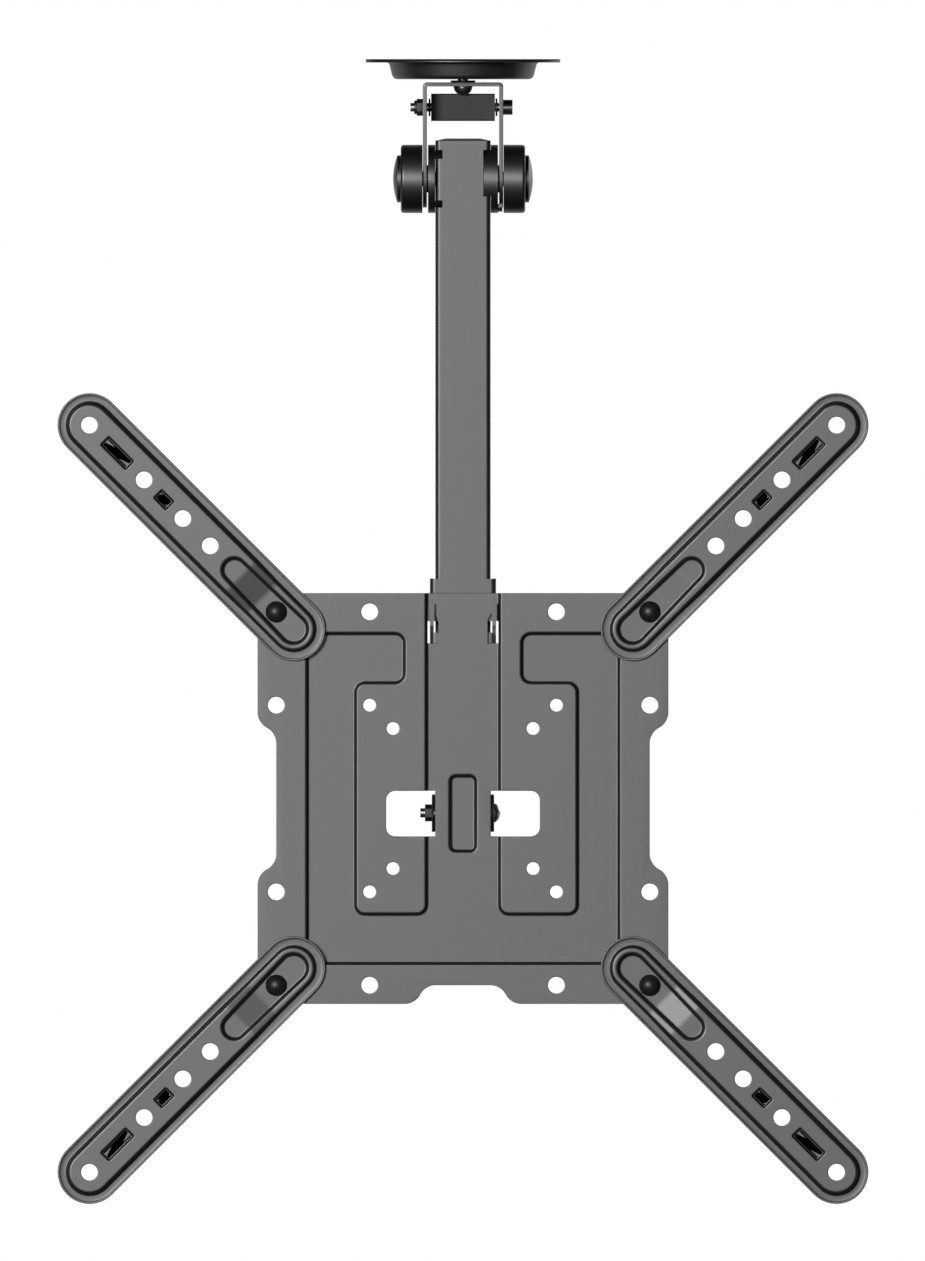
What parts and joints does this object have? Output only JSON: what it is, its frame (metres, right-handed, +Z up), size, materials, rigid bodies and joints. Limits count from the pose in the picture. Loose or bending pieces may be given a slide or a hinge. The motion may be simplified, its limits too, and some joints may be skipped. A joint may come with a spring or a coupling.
{
  "type": "tv ceiling mount",
  "caption": "Ceiling mount for a flat screen: a round dish, a swivelling yoke with a folding hinge, a square-tube pole and a pressed screen plate with pivoting adapter arms.",
  "frame": {"origin": "centre of the ceiling screw circle on the swivel axis, at the face that meets the ceiling", "axes": "+Z up along the swivel axis into the ceiling, +X to the right seen from the screen's side, +Y away from the screen"},
  "size_m": [0.4342, 0.1042, 0.613],
  "materials": {
    "powder_coated_steel": "fine satin powder coat",
    "gloss_black_steel": "glossy black coat",
    "black_fastener": "black oxide, polished",
    "zinc_steel": "bright zinc plating",
    "gloss_black_plastic": "smooth and glossy",
    "matte_black_plastic": "fine matte texture"
  },
  "bodies": {
    "ceiling": {"ceiling_plate": "gloss_black_steel", "swivel_top_washer": "zinc_steel"},
    "yoke": {"swivel_bolt": "black_fastener", "swivel_nut": "zinc_steel", "swivel_washer": "black_fastener", "yoke": "powder_coated_steel", "spacer_block": "matte_black_plastic", "cross_bolt": "zinc_steel", "cross_nut": "zinc_steel", "cross_washers": "zinc_steel", "hinge_bolt": "zinc_steel", "hinge_nut": "zinc_steel", "hinge_washer": "zinc_steel", "disc_springs": "zinc_steel", "leg_washers": "matte_black_plastic", "outer_hub_left": "gloss_black_plastic", "outer_hub_right": "gloss_black_plastic", "hub_cap_left": "gloss_black_plastic", "hub_cap_right": "gloss_black_plastic"},
    "pole": {"pole": "powder_coated_steel", "pole_top_cap": "matte_black_plastic", "pole_bottom_cap": "matte_black_plastic", "inner_hub_left": "gloss_black_plastic", "inner_hub_right": "gloss_black_plastic", "hinge_sleeve": "zinc_steel", "hook_bracket": "powder_coated_steel", "vesa_plate": "powder_coated_steel", "plate_screw": "black_fastener", "plate_nut": "black_fastener", "bracket_screw": "black_fastener", "bracket_nut": "black_fastener", "arm_bolts": "black_fastener", "arm_washers": "zinc_steel", "arm_nuts": "zinc_steel"},
    "arm_upper_left": {"arm_upper_left": "powder_coated_steel"},
    "arm_upper_right": {"arm_upper_right": "powder_coated_steel"},
    "arm_lower_left": {"arm_lower_left": "powder_coated_steel"},
    "arm_lower_right": {"arm_lower_right": "powder_coated_steel"}
  },
  "joints": [
    {"name": "swivel", "type": "hinge", "parent": "ceiling", "child": "yoke", "pos_m": [0, 0, 0], "axis": [0, 0, 1], "continuous": true},
    {"name": "fold", "type": "hinge", "parent": "yoke", "child": "pole", "pos_m": [0, 0, -0.06415], "axis": [1, 0, 0], "range_deg": [-5, 90]},
    {"name": "arm_upper_left_pivot", "type": "hinge", "parent": "pole", "child": "arm_upper_left", "pos_m": [-0.1, -0.0221, -0.2959], "axis": [0, 1, 0], "range_deg": [-45, 45]},
    {"name": "arm_upper_right_pivot", "type": "hinge", "parent": "pole", "child": "arm_upper_right", "pos_m": [0.1, -0.0221, -0.2959], "axis": [0, 1, 0], "range_deg": [-45, 45]},
    {"name": "arm_lower_left_pivot", "type": "hinge", "parent": "pole", "child": "arm_lower_left", "pos_m": [-0.1, -0.0221, -0.4959], "axis": [0, 1, 0], "range_deg": [-45, 45]},
    {"name": "arm_lower_right_pivot", "type": "hinge", "parent": "pole", "child": "arm_lower_right", "pos_m": [0.1, -0.0221, -0.4959], "axis": [0, 1, 0], "range_deg": [-45, 45]}
  ]
}
